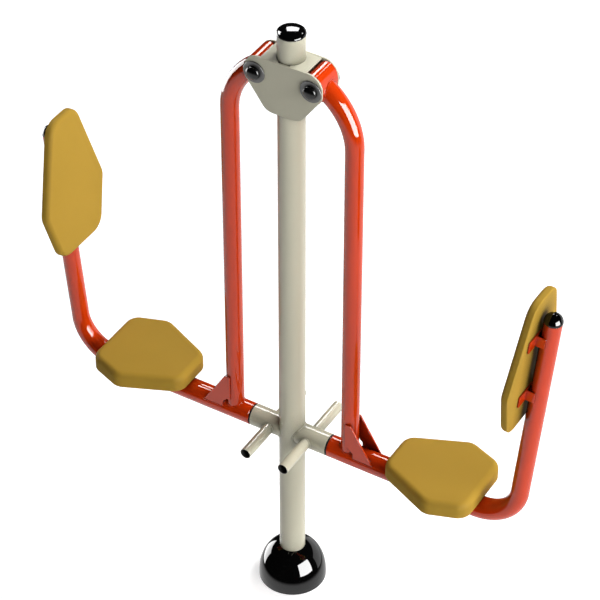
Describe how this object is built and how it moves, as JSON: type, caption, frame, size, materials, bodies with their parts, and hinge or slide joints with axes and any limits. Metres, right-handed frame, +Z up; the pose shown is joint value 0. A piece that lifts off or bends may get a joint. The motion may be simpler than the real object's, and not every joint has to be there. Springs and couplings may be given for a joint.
{
  "type": "double pedal trainer",
  "caption": "Outdoor fitness station with facing seats that swing from a central post while their users push against fixed foot pegs.",
  "frame": {"origin": "on the ground, at the centre of the post's foot flange", "axes": "+Z up along the post; +X towards the right-hand seat as seen from the front; +Y towards the rear pegs, so the front of the part faces -Y"},
  "size_m": [1.9052, 0.364, 2.3003],
  "materials": {
    "orange_paint": "gloss orange-red powder coat",
    "cream_paint": "semi-gloss cream powder coat",
    "pad_moulding": "ochre integral-skin polyurethane, fine matt grain",
    "black_plastic": "high-gloss black moulding",
    "rubber": "matt black rubber",
    "zinc_steel": "zinc-plated steel"
  },
  "bodies": {
    "frame": {"base_flange": "zinc_steel", "anchor_bolt_1": "zinc_steel", "anchor_bolt_2": "zinc_steel", "anchor_bolt_3": "zinc_steel", "anchor_bolt_4": "zinc_steel", "base_cover": "black_plastic", "post_cap": "black_plastic", "post": "cream_paint", "head_plate_front": "cream_paint", "head_plate_rear": "cream_paint", "crossbar_left": "cream_paint", "head_deck_left": "cream_paint", "foot_peg_front_left": "cream_paint", "foot_peg_rear_left": "cream_paint", "stop_buffer_left": "rubber", "axle_left": "zinc_steel", "axle_washer_front_left": "zinc_steel", "axle_washer_rear_left": "zinc_steel", "axle_cap_front_left": "black_plastic", "axle_cap_rear_left": "black_plastic", "crossbar_right": "cream_paint", "head_deck_right": "cream_paint", "foot_peg_front_right": "cream_paint", "foot_peg_rear_right": "cream_paint", "stop_buffer_right": "rubber", "axle_right": "zinc_steel", "axle_washer_front_right": "zinc_steel", "axle_washer_rear_right": "zinc_steel", "axle_cap_front_right": "black_plastic", "axle_cap_rear_right": "black_plastic"},
    "left_arm": {"left_bearing_front": "zinc_steel", "left_bearing_rear": "zinc_steel", "left_upright_cap": "black_plastic", "left_hub": "orange_paint", "left_arm_tube": "orange_paint", "left_seat_beam": "orange_paint", "left_beam_plug": "orange_paint", "left_gusset_front": "orange_paint", "left_gusset_rear": "orange_paint", "left_seat_plate": "orange_paint", "left_back_bracket_upper": "orange_paint", "left_back_bracket_lower": "orange_paint", "left_seat_pad": "pad_moulding", "left_back_pad": "pad_moulding"},
    "right_arm": {"right_bearing_front": "zinc_steel", "right_bearing_rear": "zinc_steel", "right_upright_cap": "black_plastic", "right_hub": "orange_paint", "right_arm_tube": "orange_paint", "right_seat_beam": "orange_paint", "right_beam_plug": "orange_paint", "right_gusset_front": "orange_paint", "right_gusset_rear": "orange_paint", "right_seat_plate": "orange_paint", "right_back_bracket_upper": "orange_paint", "right_back_bracket_lower": "orange_paint", "right_seat_pad": "pad_moulding", "right_back_pad": "pad_moulding"}
  },
  "joints": [
    {"name": "left_swing", "type": "hinge", "parent": "frame", "child": "left_arm", "pos_m": [-0.0997, 0, 2.138], "axis": [0, 1, 0], "range_deg": [0, 30]},
    {"name": "right_swing", "type": "hinge", "parent": "frame", "child": "right_arm", "pos_m": [0.0997, 0, 2.138], "axis": [0, -1, 0], "range_deg": [0, 30]}
  ]
}
